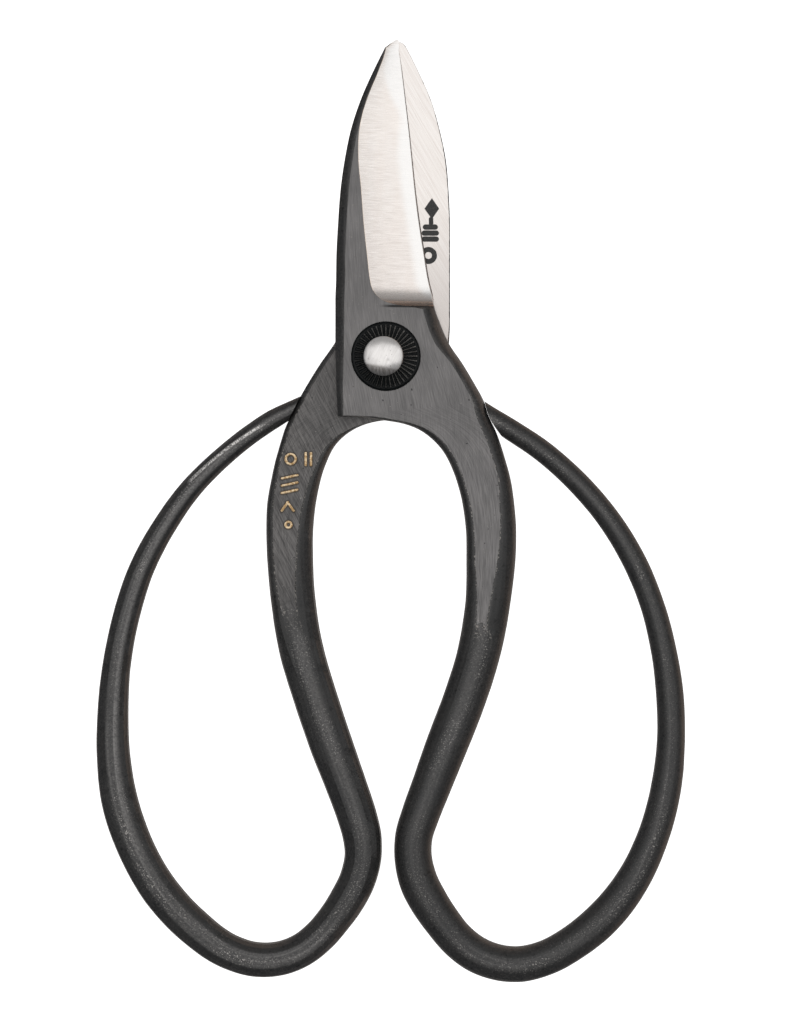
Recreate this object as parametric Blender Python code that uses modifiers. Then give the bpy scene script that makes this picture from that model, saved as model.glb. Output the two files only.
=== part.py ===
"""Floral snips: two forged arms crossing on one rivet, with a ribbed dish washer under each rivet head.

Row frame: origin at the centre of the rivet's flat rear end, +Y towards the tips, +Z out of the front.
Lengths in the tables are millimetres; every mesh is made in metres.
Each arm is one forging: blade, flat ricasso round the pivot, thick shank, and an open bow whose thin
tail comes back to lie against the outside of its own shank.
"""

import math

import bmesh
import bpy

MM = 0.001

# ---------------------------------------------------------------- driving dimensions (mm)
MID = 6.5            # height of the plane the two blades slide on
FACE_GAP = 0.1       # each arm's inner face stands this far off that plane
RICASSO = 4.2        # outer face of the flat ricasso, from the sliding plane
PIN_R = 2.5          # rivet shank radius
HOLE_R = 2.58        # running clearance of the arms and the washers on the rivet
HEAD_R = 3.8
WASHER_R = 6.65
WASHER_LOW = 4.3     # washer's flat underside, from the sliding plane
WASHER_HUB = 5.55
RIBS = 40
HEAD_UNDER = 5.65
HEAD_TOP = 6.9
EDGE_LAND = 0.25     # thickness left along a cutting edge
STEP = 2.6           # spacing of the sections swept along an arm
CORNER = 3           # segments in each rounded corner of a section

# Outline of each arm from the tip to the shank: (spine side point, edge side point).
# The spine side carries on as the inside of the throat between the shanks.
FRONT_OUTLINE = [
    ((2.1, 60.5), (2.5, 60.4)), ((1.1, 59.8), (2.6, 59.5)), ((-0.1, 58.9), (2.6, 58.6)),
    ((-2.2, 54.9), (3.2, 54.7)), ((-4.7, 49.2), (3.9, 49.0)), ((-6.6, 43.4), (4.6, 43.2)),
    ((-7.8, 37.6), (5.2, 37.6)), ((-8.6, 31.9), (5.8, 31.9)), ((-9.1, 25.2), (6.6, 25.7)),
    ((-9.4, 19.4), (7.5, 20.0)), ((-9.5, 13.6), (8.5, 14.0)), ((-9.6, 11.1), (9.1, 11.5)),
    ((-9.6, 9.2), (9.3, 9.6)), ((-9.6, 6.0), (10.5, 6.1)), ((-9.6, 2.1), (12.2, 2.3)),
    ((-9.5, -1.7), (14.7, -1.4)), ((-9.4, -5.6), (17.1, -5.4)), ((-9.1, -11.6), (18.9, -8.8)),
    ((-4.5, -11.8), (19.5, -10.8)), ((-0.1, -12.4), (20.2, -12.5)), ((3.5, -13.05), (20.95, -14.0)),
    ((6.4, -14.15), (21.6, -15.6)), ((8.95, -16.0), (22.25, -17.5)), ((10.95, -18.2), (22.95, -19.8)),
    ((12.8, -21.7), (23.9, -23.2)), ((14.4, -26.7), (24.6, -27.5)), ((15.4, -33.4), (25.1, -33.8)),
    ((15.5, -39.6), (24.9, -39.7)),
]
BACK_OUTLINE = [
    ((2.5, 60.3), (2.2, 60.4)), ((3.3, 60.1), (2.1, 59.5)), ((4.0, 59.3), (1.9, 58.6)),
    ((6.2, 54.9), (1.2, 54.7)), ((8.7, 49.2), (0.3, 49.0)), ((10.4, 43.4), (-0.6, 43.2)),
    ((11.6, 37.6), (-1.2, 37.6)), ((12.1, 31.9), (-2.2, 31.9)), ((12.4, 25.2), (-3.2, 25.7)),
    ((12.4, 19.4), (-4.4, 20.0)), ((12.4, 13.6), (-5.7, 14.0)), ((12.4, 11.1), (-6.3, 11.5)),
    ((12.4, 9.2), (-6.6, 9.6)), ((12.4, 6.0), (-7.8, 6.1)), ((12.2, 2.1), (-9.9, 2.3)),
    ((12.2, -1.7), (-12.5, -1.4)), ((12.0, -5.6), (-15.0, -5.4)), ((11.5, -11.6), (-16.9, -8.8)),
    ((7.0, -11.8), (-17.9, -10.8)), ((2.6, -12.2), (-18.65, -12.4)), ((-0.9, -12.4), (-19.35, -14.0)),
    ((-4.2, -13.2), (-19.9, -15.7)), ((-7.1, -14.7), (-20.5, -17.7)), ((-9.4, -16.8), (-21.1, -19.8)),
    ((-11.6, -21.1), (-21.9, -23.4)), ((-13.2, -27.3), (-22.7, -28.0)), ((-13.9, -34.0), (-22.9, -34.0)),
    ((-13.9, -39.6), (-22.7, -39.6)),
]
# The bow, from the end of the shank round to the tail: (centre line point, width).
FRONT_BOW = [
    ((19.6, -47.6), 8.6), ((18.0, -56.7), 8.3), ((15.3, -65.5), 8.2), ((12.0, -74.1), 8.1),
    ((8.7, -82.8), 7.6), ((6.6, -88.1), 7.4), ((5.5, -92.2), 7.2), ((5.3, -96.0), 7.2),
    ((6.2, -100.4), 7.4), ((8.3, -104.5), 7.4), ((10.7, -108.4), 7.2), ((13.7, -112.0), 7.0),
    ((17.3, -114.8), 7.1), ((21.6, -116.5), 7.0), ((26.2, -116.7), 6.9), ((30.8, -115.5), 6.8),
    ((36.5, -112.3), 6.8), ((42.0, -107.7), 6.9), ((47.6, -100.4), 6.5), ((51.5, -91.9), 6.1),
    ((53.8, -83.0), 5.9), ((54.8, -73.8), 5.4), ((54.6, -64.6), 5.2), ((53.2, -55.4), 4.9),
    ((50.8, -46.6), 4.6), ((47.1, -38.1), 4.6), ((42.2, -30.3), 4.4), ((36.0, -23.4), 4.3),
    ((29.1, -17.5), 4.2), ((24.4, -14.4), 4.1),
]
BACK_BOW = [
    ((-17.6, -47.1), 8.5), ((-16.2, -56.2), 8.5), ((-13.6, -65.1), 8.4), ((-10.7, -73.8), 8.4),
    ((-7.5, -82.5), 7.9), ((-5.4, -88.1), 7.7), ((-4.5, -92.2), 7.4), ((-4.3, -95.8), 7.2),
    ((-5.3, -100.3), 7.0), ((-7.4, -104.5), 6.9), ((-9.8, -108.0), 6.6), ((-12.6, -111.2), 6.5),
    ((-16.2, -114.1), 6.5), ((-20.6, -115.7), 6.6), ((-25.2, -115.8), 6.7), ((-29.6, -114.5), 6.7),
    ((-37.0, -109.4), 7.2), ((-43.2, -102.7), 7.2), ((-47.8, -94.7), 7.1), ((-50.9, -86.1), 7.0),
    ((-52.1, -77.0), 6.4), ((-52.3, -67.7), 5.9), ((-51.5, -58.6), 5.4), ((-49.7, -49.5), 5.1),
    ((-46.8, -40.8), 4.8), ((-42.5, -32.7), 4.5), ((-37.2, -25.3), 4.2), ((-30.6, -18.8), 3.9),
    ((-25.1, -14.6), 3.75), ((-21.6, -12.15), 3.75),
]
# Slanted cut at the end of each tail: (outer side point, inner side point).
FRONT_TAIL = ((19.4, -9.0), (22.4, -15.3))
BACK_TAIL = ((-16.75, -7.8), (-19.0, -12.6))

# Heights along an arm, by station number, measured towards the arm's own outer side.
OUTER = [(0, 0.8), (1, 1.0), (2, 1.3), (3, 1.95), (4, 2.9), (5, 3.5), (6, 3.8), (8, 4.0), (10, 4.2), (27, 4.2), (28, 4.1), (29, 3.75),
         (31, 3.6), (37, 3.55), (43, 3.3), (48, 3.0), (52, 2.5), (55, 2.35), (58, 2.85)]
INNER = [(0, 0.1), (22, 0.1), (23, -0.25), (24, -0.7), (25, -1.25), (26, -1.95), (27, -2.6), (28, -3.3),
         (29, -3.6), (31, -3.6), (37, -3.55), (43, -3.3), (48, -3.0), (52, -2.5), (55, -1.95), (58, -0.85)]
# Corner of the section on the spine side, outer face: (station, reach across, reach down, roundness).
# Roundness 0 is a flat chamfer, 1 a quarter ellipse, and below 0 a hollow.
SPINE_CORNER = [(0, 0.08, 0.3, 0), (1, 0.25, 0.5, 0), (2, 0.45, 0.6, 0), (3, 0.95, 0.8, 0), (4, 1.15, 1.0, 0),
                (5, 1.4, 1.1, 0), (7, 1.5, 1.2, 0), (10, 1.65, 1.3, 0), (14, 1.6, 1.3, 0), (17, 0.8, 0.8, 0),
                (20, 0.7, 0.8, 0.3), (22, 1.2, 1.4, 0.8), (24, 1.7, 1.9, 0.9), (27, 1.8, 2.4, 0.9)]
# Corner on the edge side, outer face: the hollow-ground bevel, its runout, then the rounded shoulder.
EDGE_CORNER = [(0, 0.28, 0.45, 0), (1, 1.1, 0.65, 0), (2, 2.2, 0.95, 0), (3, 4.35, 1.6, -0.1),
               (4, 7.35, 2.55, -0.15), (5, 9.55, 3.15, -0.15), (6, 10.35, 3.45, -0.15), (7, 10.5, 3.55, -0.15),
               (8, 10.8, 3.65, -0.15), (9, 11.1, 3.75, -0.15), (10, 11.4, 3.85, -0.15), (11, 11.5, 2.9, -0.1),
               (12, 1.8, 3.2, 0.6), (17, 1.8, 3.0, 0.7), (21, 2.6, 2.6, 0.8), (23, 2.5, 2.6, 0.9),
               (27, 3.0, 3.0, 0.9)]
# Corners of the inner face: crisp along the blade, opening into the rounded shank.
SPINE_CORNER_IN = [(0, 0.05, 0.05, 0.5), (2, 0.15, 0.15, 0.5), (20, 0.3, 0.3, 0.6), (22, 1.4, 1.2, 0.9),
                   (24, 1.9, 2.0, 0.9), (27, 2.9, 2.6, 0.9)]
EDGE_CORNER_IN = [(0, 0.03, 0.05, 0.5), (2, 0.08, 0.1, 0.5), (12, 0.1, 0.1, 0.5), (20, 0.5, 0.5, 0.7),
                  (23, 1.1, 1.4, 0.9), (27, 1.3, 2.4, 0.9)]
BAR_ACROSS, BAR_DOWN, BAR_ROUND = 0.42, 0.44, 0.97   # share of the bow's width and depth in each corner
SHARP_SPINE = {2, 17}      # outline corners kept sharp: the clipped tip and the heel of the blade
SHARP_EDGE = {2}
BAR_FROM = 29              # station from which the section is a plain rounded bar


def between(keys, at):
    """Straight interpolation in a table whose rows start with a station number."""
    if at <= keys[0][0]:
        return keys[0][1:]
    for low, high in zip(keys, keys[1:]):
        if at <= high[0]:
            t = (at - low[0]) / (high[0] - low[0])
            return tuple(p + (q - p) * t for p, q in zip(low[1:], high[1:]))
    return keys[-1][1:]


def bow_sides(bow, before, hand):
    """Side points of the bow: half the width to each side of the centre line."""
    centres = [before] + [c for c, _ in bow]
    rows = []
    for i, ((x, y), width) in enumerate(bow, 1):
        px, py = centres[i - 1]
        nx, ny = centres[min(i + 1, len(centres) - 1)]
        dx, dy = nx - px, ny - py
        length = math.hypot(dx, dy)
        ox, oy = -dy / length * width / 2 * hand, dx / length * width / 2 * hand
        rows.append(((x - ox, y - oy), (x + ox, y + oy)))
    return rows


def stations(outline, bow, tail, hand):
    last = outline[-1]
    before = ((last[0][0] + last[1][0]) / 2, (last[0][1] + last[1][1]) / 2)
    return outline + bow_sides(bow, before, hand) + [tail]


def smooth(points, sharp, i, t, knots):
    """Catmull-Rom through the side points, spaced by knots, with chosen corners left sharp."""
    def slope(j, forward):
        lo, hi = max(j - 1, 0), min(j + 1, len(points) - 1)
        if j in sharp:
            lo, hi = (j, hi) if forward else (lo, j)
        span = knots[hi] - knots[lo]
        return [(points[hi][k] - points[lo][k]) / span for k in (0, 1)]

    h = knots[i + 1] - knots[i]
    p0, p1 = points[i], points[i + 1]
    m0, m1 = slope(i, True), slope(i + 1, False)
    t2, t3 = t * t, t * t * t
    return tuple((2 * t3 - 3 * t2 + 1) * p0[k] + (t3 - 2 * t2 + t) * h * m0[k]
                 + (3 * t2 - 2 * t3) * p1[k] + (t3 - t2) * h * m1[k] for k in (0, 1))


def corner(side, face, apex, roundness, flip):
    """Points from side to face round one corner of a section, in (across, height)."""
    points = []
    for n in range(CORNER + 1):
        s = n / CORNER
        w1, w2 = 1 - math.sin(s * math.pi / 2), 1 - math.cos(s * math.pi / 2)
        points.append(tuple(
            roundness * (apex[k] + (side[k] - apex[k]) * w1 + (face[k] - apex[k]) * w2)
            + (1 - roundness) * (side[k] + (face[k] - side[k]) * s) for k in (0, 1)))
    return points[::-1] if flip else points


def section(at, a, b, side):
    """One closed section of an arm, as points in mm."""
    width = math.hypot(b[0] - a[0], b[1] - a[1])
    (top,), (low,) = between(OUTER, at), between(INNER, at)
    depth = top - low
    bar = (BAR_ACROSS * width, BAR_DOWN * depth, BAR_ROUND)
    share = min(max(at - BAR_FROM + 1.5, 0), 1.5) / 1.5
    reach = []
    for keys in (SPINE_CORNER, EDGE_CORNER, SPINE_CORNER_IN, EDGE_CORNER_IN):
        own = between(keys, at)
        reach.append([p + (q - p) * share for p, q in zip(own, bar)])
    (sx, sz, sk), (ex, ez, ek), (ix, iz, ik), (jx, jz, jk) = reach
    ring = corner((0, low + iz), (ix, low), (0, low), ik, True)
    ring += corner((0, top - sz), (sx, top), (0, top), sk, False)
    ring += corner((width, top - ez), (width - ex, top), (width, top), ek, True)
    ring += corner((width, low + jz), (width - jx, low), (width, low), jk, False)
    ux, uy = (b[0] - a[0]) / width, (b[1] - a[1]) / width
    return [(a[0] + ux * u, a[1] + uy * u, h * side) for u, h in ring]


def arm_mesh(name, outline, bow, tail, hand, side):
    rows = stations(outline, bow, tail, hand)
    a_side, b_side = [r[0] for r in rows], [r[1] for r in rows]
    knots = [0.0]
    for (a0, b0), (a1, b1) in zip(rows, rows[1:]):
        knots.append(knots[-1] + 0.5 * (math.dist(a0, a1) + math.dist(b0, b1)))
    rings = []
    for i in range(len(rows) - 1):
        count = max(1, round((knots[i + 1] - knots[i]) / STEP))
        for n in range(count + (i == len(rows) - 2)):
            t = n / count
            a = smooth(a_side, SHARP_SPINE, i, t, knots)
            b = smooth(b_side, SHARP_EDGE, i, t, knots)
            rings.append(section(i + t, a, b, side))
    bm = bmesh.new()
    loops = [[bm.verts.new((x * MM, y * MM, z * MM)) for x, y, z in ring] for ring in rings]
    size = len(loops[0])
    for low, high in zip(loops, loops[1:]):
        for k in range(size):
            bm.faces.new((low[k], low[(k + 1) % size], high[(k + 1) % size], high[k]))
    bm.faces.new(loops[0])
    bm.faces.new(loops[-1][::-1])
    bmesh.ops.recalc_face_normals(bm, faces=bm.faces)
    mesh = bpy.data.meshes.new(name)
    bm.to_mesh(mesh)
    bm.free()
    return mesh


def lathe(name, profile, steps, collection):
    """Turn an open (radius, height) profile, in mm, about the vertical axis."""
    mesh = bpy.data.meshes.new(name)
    mesh.from_pydata([(r * MM, 0, z * MM) for r, z in profile], [(i, i + 1) for i in range(len(profile) - 1)], [])
    obj = bpy.data.objects.new(name, mesh)
    collection.objects.link(obj)
    screw = obj.modifiers.new("turn", "SCREW")
    screw.axis = "Z"
    screw.steps = screw.render_steps = steps
    screw.use_merge_vertices = True
    screw.merge_threshold = 0.00001
    screw.use_normal_calculate = True
    return obj


def material(name, colour, metallic, roughness):
    made = bpy.data.materials.new(name)
    made.use_nodes = True
    shader = made.node_tree.nodes["Principled BSDF"]
    shader.inputs["Base Color"].default_value = (*colour, 1)
    shader.inputs["Metallic"].default_value = metallic
    shader.inputs["Roughness"].default_value = roughness
    return made


def round_shade(mesh, angle):
    """Smooth shading with the creases sharper than angle (degrees) kept."""
    for poly in mesh.polygons:
        poly.use_smooth = True
    mesh.set_sharp_from_angle(angle=math.radians(angle))


def washer(name, side, collection, look):
    """Ribbed dish washer: a turned disc whose alternate spokes are raised between hub and rim."""
    z = lambda r: WASHER_HUB - 0.22 * max(0.0, r - 3.9)
    bm = bmesh.new()
    profile = [(HOLE_R, WASHER_LOW), (HOLE_R, WASHER_HUB), (3.9, WASHER_HUB), (4.15, z(4.15)), (5.95, z(5.95)),
               (6.15, z(6.15)), (WASHER_R - 0.15, z(6.45)), (WASHER_R, z(6.65) - 0.1), (WASHER_R, WASHER_LOW)]
    first = [bm.verts.new((r * MM, 0, h * side * MM)) for r, h in profile]
    edges = [bm.edges.new((first[i], first[(i + 1) % len(first)])) for i in range(len(first))]
    bmesh.ops.spin(bm, geom=first + edges, axis=(0, 0, 1), cent=(0, 0, 0), steps=2 * RIBS, angle=2 * math.pi,
                   use_merge=True)
    bmesh.ops.remove_doubles(bm, verts=bm.verts, dist=0.000001)
    for vert in bm.verts:
        r, h = math.hypot(vert.co.x, vert.co.y) / MM, abs(vert.co.z) / MM
        if 4.0 < r < 6.0 and h > WASHER_LOW + 0.1:
            spoke = round(math.atan2(vert.co.y, vert.co.x) / (math.pi / RIBS))
            vert.co.z += side * (0.1 if spoke % 2 else -0.08) * MM
    bmesh.ops.recalc_face_normals(bm, faces=bm.faces)
    mesh = bpy.data.meshes.new(name)
    bm.to_mesh(mesh)
    bm.free()
    obj = bpy.data.objects.new(name, mesh)
    collection.objects.link(obj)
    round_shade(mesh, 20)
    mesh.materials.append(look)
    obj.location = (0, 0, MID * MM)
    return obj


def main():
    for obj in list(bpy.data.objects):
        bpy.data.objects.remove(obj, do_unlink=True)
    scene = bpy.context.scene
    parts = bpy.data.collections.new("floral_snips")
    cutters = bpy.data.collections.new("cutters")
    scene.collection.children.link(parts)
    scene.collection.children.link(cutters)
    cutters.hide_render = True

    bm = bmesh.new()
    bmesh.ops.create_cone(bm, cap_ends=True, segments=48, radius1=HOLE_R * MM, radius2=HOLE_R * MM, depth=40 * MM)
    drill_mesh = bpy.data.meshes.new("pivot_drill")
    bm.to_mesh(drill_mesh)
    bm.free()
    drill = bpy.data.objects.new("pivot_drill", drill_mesh)
    cutters.objects.link(drill)
    drill.location = (0, 0, MID * MM)
    drill.display_type = "WIRE"
    drill.hide_render = True

    arms = (
        ("front_arm", FRONT_OUTLINE, FRONT_BOW, FRONT_TAIL, 1, 1, (0.075, 0.075, 0.08)),
        ("back_arm", BACK_OUTLINE, BACK_BOW, BACK_TAIL, -1, -1, (0.085, 0.08, 0.08)),
    )
    for name, outline, bow, tail, hand, side, colour in arms:
        mesh = arm_mesh(name, outline, bow, tail, hand, side)
        mesh.materials.append(material(name + "_forged", colour, 0.8, 0.5))
        arm = bpy.data.objects.new(name, mesh)
        parts.objects.link(arm)
        arm.location = (0, 0, MID * MM)
        round_shade(mesh, 32)
        cut = arm.modifiers.new("pivot hole", "BOOLEAN")
        cut.operation = "DIFFERENCE"
        cut.solver = "EXACT"
        cut.object = drill

    rivet = lathe("pivot_rivet", [
        (0, -MID), (2.4, -MID), (3.2, -6.3), (3.65, -6.0), (3.65, -HEAD_UNDER), (PIN_R, -HEAD_UNDER),
        (PIN_R, HEAD_UNDER), (HEAD_R, HEAD_UNDER), (HEAD_R, 5.8), (3.6, 6.12), (3.1, 6.42), (2.3, 6.68),
        (1.2, 6.85), (0, HEAD_TOP)], 48, parts)
    rivet.location = (0, 0, MID * MM)
    rivet.data.materials.append(material("pivot_rivet_steel", (0.72, 0.72, 0.71), 1.0, 0.28))
    screw = rivet.modifiers["turn"]
    screw.use_smooth_shade = True

    washer("front_washer", 1, parts, material("front_washer_blued", (0.03, 0.03, 0.035), 0.9, 0.3))
    washer("rear_washer", -1, parts, material("rear_washer_blued", (0.03, 0.03, 0.035), 0.9, 0.3))


main()
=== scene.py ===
import math

import bmesh
import bpy
from mathutils import Matrix, Vector, noise


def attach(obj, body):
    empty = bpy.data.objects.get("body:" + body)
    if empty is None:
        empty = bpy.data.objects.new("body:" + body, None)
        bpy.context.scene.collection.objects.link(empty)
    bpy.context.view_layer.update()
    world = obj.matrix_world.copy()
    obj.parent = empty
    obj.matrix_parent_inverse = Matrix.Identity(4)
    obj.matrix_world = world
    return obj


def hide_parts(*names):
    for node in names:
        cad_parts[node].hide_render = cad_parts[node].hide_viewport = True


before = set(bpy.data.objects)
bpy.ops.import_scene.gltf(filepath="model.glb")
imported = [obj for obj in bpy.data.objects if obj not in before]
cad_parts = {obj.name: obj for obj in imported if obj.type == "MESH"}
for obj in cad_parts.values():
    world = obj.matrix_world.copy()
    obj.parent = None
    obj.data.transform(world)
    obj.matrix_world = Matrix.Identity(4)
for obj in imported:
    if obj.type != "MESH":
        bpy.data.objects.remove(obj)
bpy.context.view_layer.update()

MM = 0.001
# ------------------------------------------------------------------ dimensions, in mm, as in the CAD
MID = 6.5
PIN_R = 2.5
HOLE_R = 2.58
WASHER_R = 6.65
LAND = 0.25

FRONT_OUTLINE = [
    ((2.1, 60.75), (2.5, 60.65)), ((1.1, 60.05), (2.6, 59.6)), ((-0.1, 59.15), (2.6, 58.6)),
    ((-2.2, 54.9), (3.2, 54.7)), ((-4.7, 49.2), (3.9, 49.0)), ((-6.6, 43.4), (4.6, 43.2)),
    ((-7.8, 37.6), (5.2, 37.6)), ((-8.6, 31.9), (5.8, 31.9)), ((-9.1, 25.2), (6.6, 25.7)),
    ((-9.4, 19.4), (7.5, 20.0)), ((-9.5, 13.6), (8.5, 14.0)), ((-9.6, 11.1), (9.1, 11.5)),
    ((-9.6, 9.2), (9.3, 9.6)), ((-9.6, 6.0), (10.5, 6.1)), ((-9.6, 2.1), (12.2, 2.3)),
    ((-9.5, -1.7), (14.7, -1.4)), ((-9.4, -5.6), (17.1, -5.4)), ((-9.1, -11.6), (18.9, -8.8)),
    ((-4.5, -11.8), (19.5, -10.8)), ((-0.1, -12.4), (20.2, -12.5)), ((3.5, -13.05), (20.95, -14.0)),
    ((6.4, -14.15), (21.6, -15.6)), ((8.95, -16.0), (22.25, -17.5)), ((10.95, -18.2), (22.95, -19.8)),
    ((12.8, -21.7), (23.9, -23.2)), ((14.4, -26.7), (24.6, -27.5)), ((15.4, -33.4), (25.1, -33.8)),
    ((15.5, -39.6), (24.9, -39.7)),
]
BACK_OUTLINE = [
    ((2.5, 60.3), (2.2, 60.4)), ((3.3, 60.1), (2.1, 59.5)), ((4.0, 59.3), (1.9, 58.6)),
    ((6.2, 54.9), (1.2, 54.7)), ((8.7, 49.2), (0.3, 49.0)), ((10.4, 43.4), (-0.6, 43.2)),
    ((11.6, 37.6), (-1.2, 37.6)), ((12.1, 31.9), (-2.2, 31.9)), ((12.4, 25.2), (-3.2, 25.7)),
    ((12.4, 19.4), (-4.4, 20.0)), ((12.4, 13.6), (-5.7, 14.0)), ((12.4, 11.1), (-6.3, 11.5)),
    ((12.4, 9.2), (-6.6, 9.6)), ((12.4, 6.0), (-7.8, 6.1)), ((12.2, 2.1), (-9.9, 2.3)),
    ((12.2, -1.7), (-12.5, -1.4)), ((12.0, -5.6), (-15.0, -5.4)), ((11.5, -11.6), (-16.9, -8.8)),
    ((7.0, -11.8), (-17.9, -10.8)), ((2.6, -12.2), (-18.65, -12.4)), ((-0.9, -12.4), (-19.35, -14.0)),
    ((-4.2, -13.2), (-19.9, -15.7)), ((-7.1, -14.7), (-20.5, -17.7)), ((-9.4, -16.8), (-21.1, -19.8)),
    ((-11.6, -21.1), (-21.9, -23.4)), ((-13.2, -27.3), (-22.7, -28.0)), ((-13.9, -34.0), (-22.9, -34.0)),
    ((-13.9, -39.6), (-22.7, -39.6)),
]
FRONT_BOW = [
    ((19.6, -47.6), 8.6), ((18.0, -56.7), 8.3), ((15.3, -65.5), 8.2), ((12.0, -74.1), 8.1),
    ((8.7, -82.8), 7.6), ((6.7, -88.1), 7.35), ((5.45, -92.2), 7.2), ((5.3, -96.0), 7.2),
    ((6.2, -100.4), 7.4), ((8.2, -104.55), 7.45), ((10.75, -108.35), 7.15), ((13.7, -112.0), 7.0),
    ((17.3, -114.8), 7.0), ((21.6, -116.4), 6.95), ((26.2, -116.7), 6.9), ((30.8, -115.5), 6.8),
    ((36.5, -112.3), 6.8), ((42.0, -107.7), 6.9), ((47.6, -100.4), 6.5), ((51.5, -91.9), 6.1),
    ((53.85, -83.0), 5.9), ((54.8, -73.8), 5.4), ((54.55, -64.6), 5.3), ((53.2, -55.4), 4.9),
    ((50.8, -46.6), 4.65), ((47.1, -38.1), 4.6), ((42.15, -30.35), 4.45), ((36.0, -23.4), 4.3),
    ((29.1, -17.5), 4.2), ((24.4, -14.4), 4.1),
]
BACK_BOW = [
    ((-17.7, -47.1), 8.5), ((-16.2, -56.2), 8.5), ((-13.6, -65.1), 8.4), ((-10.7, -73.8), 8.3),
    ((-7.5, -82.5), 7.85), ((-5.55, -88.1), 7.65), ((-4.5, -92.2), 7.45), ((-4.3, -95.8), 7.1),
    ((-5.3, -100.3), 7.0), ((-7.4, -104.5), 6.9), ((-9.8, -108.0), 6.6), ((-12.55, -111.25), 6.5),
    ((-16.2, -114.1), 6.5), ((-20.6, -115.7), 6.6), ((-25.2, -115.8), 6.7), ((-29.6, -114.5), 6.8),
    ((-37.0, -109.4), 7.15), ((-43.2, -102.7), 7.2), ((-47.8, -94.7), 7.1), ((-50.85, -86.1), 7.1),
    ((-52.2, -77.0), 6.45), ((-52.3, -67.7), 5.95), ((-51.5, -58.6), 5.4), ((-49.65, -49.5), 5.15),
    ((-46.8, -40.8), 4.9), ((-42.5, -32.7), 4.55), ((-37.2, -25.3), 4.2), ((-30.6, -18.8), 3.9),
    ((-25.15, -14.5), 3.8), ((-21.6, -12.15), 3.75),
]
FRONT_TAIL = ((19.15, -8.7), (22.25, -15.4))
# the cut end of the front tail leans on the shank: (-y, x) along the shank, and along a straight cut
TAIL_REST = [(8.7, 18.96), (10.8, 19.55), (12.5, 20.26), (13.3, 20.78), (15.4, 22.25)]
TAIL_CUT = [(8.7, 19.15), (15.4, 22.25)]
BACK_TAIL = ((-16.35, -7.7), (-18.72, -12.5))

# Tables along an arm, by station number. Heights are measured towards the arm's own outer side.
OUTER = [(0, 0.5), (1, 0.9), (2, 1.32), (3, 1.98), (4, 2.9), (5, 3.5), (6, 3.8), (8, 4.0), (10, 4.2), (28.2, 4.2), (28.7, 3.95), (30, 3.65),
         (31, 3.6), (37, 3.55), (43, 3.3), (48, 3.0), (52, 2.5), (55, 2.35), (58, 2.85)]
INNER = [(0, 0.1), (22, 0.1), (23, -0.25), (24, -0.7), (25, -1.25), (26, -1.95), (27, -2.6), (28, -3.3),
         (29, -3.6), (31, -3.6), (37, -3.55), (43, -3.3), (48, -3.0), (52, -2.5), (55, -1.95), (58, -0.85)]
# reach across, reach down, roundness of each corner of the section
SPINE_OUT = [(0, 0.04, 0.1, 0), (1, 0.06, 0.15, 0), (2, 0.25, 0.4, 0), (3, 1.0, 0.9, 0), (4, 1.25, 1.05, 0),
             (5, 1.35, 1.15, 0), (7, 1.55, 1.25, 0), (10, 1.7, 1.3, 0), (14, 1.6, 1.3, 0), (17, 1.0, 0.9, 0),
             (18, 2.3, 0.9, 0.3), (19, 2.3, 0.95, 0.35), (20, 2.1, 1.1, 0.4), (21, 1.8, 1.3, 0.5), (22, 1.75, 1.5, 0.6),
             (23, 1.5, 1.7, 0.75), (24, 1.4, 2.0, 0.85),
             (25, 1.4, 2.2, 0.9), (26, 1.5, 2.4, 0.9), (27, 1.6, 2.6, 0.9), (28, 2.1, 2.8, 0.9)]
EDGE_OUT = [(0, 0.08, 1.2, 0.5), (1, 0.5, 1.4, 0.4), (2, 1.0, 1.6, 0.4), (3, 1.6, 1.8, 0.4), (5, 2.2, 2.4, 0.4),
            (11, 2.2, 3.1, 0.55), (12, 2.1, 3.2, 0.55), (13, 2.5, 3.2, 0.6), (14, 2.6, 3.1, 0.65), (15, 2.1, 3.0, 0.7),
            (17, 2.05, 3.0, 0.75), (20, 2.6, 2.8, 0.85), (22, 2.5, 2.8, 0.9), (24, 2.4, 3.0, 0.9), (26, 3.1, 3.2, 0.9),
            (27, 3.5, 3.2, 0.9), (28, 4.0, 3.2, 0.9)]
SPINE_IN = [(0, 0.05, 0.05, 0.5), (2, 0.1, 0.1, 0.5), (12, 0.14, 0.14, 0.5), (14, 0.35, 0.35, 0.5), (19, 0.35, 0.4, 0.6), (21, 0.9, 0.9, 0.8),
            (22, 1.7, 1.5, 0.9), (24, 2.0, 2.2, 0.9), (25, 2.45, 2.6, 0.9), (26, 2.85, 2.8, 0.9), (27, 3.2, 3.0, 0.9), (28, 3.7, 3.1, 0.9)]
EDGE_IN = [(0, 0.02, 0.05, 0.5), (2, 0.04, 0.08, 0.5), (12, 0.06, 0.1, 0.5), (13, 0.9, 0.9, 0.4), (17, 1.0, 1.0, 0.5),
           (20, 0.95, 1.1, 0.7), (23, 1.1, 1.5, 0.9), (27, 1.3, 2.6, 0.9), (28, 1.6, 3.0, 0.9)]
# how far the ground bevel reaches in from the cutting edge
BEVEL = [(0, 0.42), (1, 1.5), (2, 2.55), (3, 4.5), (4, 7.5), (5, 9.6), (6, 10.4), (7, 10.5), (8, 10.8),
         (9, 11.1), (10, 11.4), (11, 11.7), (12, 11.8)]
BAR_ACROSS, BAR_DOWN, BAR_ROUND = 0.46, 0.47, 0.985
BAR_FROM = 29
SHARP_SPINE, SHARP_EDGE = {2, 17}, {2}


def table(keys, at):
    if at <= keys[0][0]:
        return keys[0][1:]
    for low, high in zip(keys, keys[1:]):
        if at <= high[0]:
            t = (at - low[0]) / (high[0] - low[0])
            return tuple(p + (q - p) * t for p, q in zip(low[1:], high[1:]))
    return keys[-1][1:]


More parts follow.
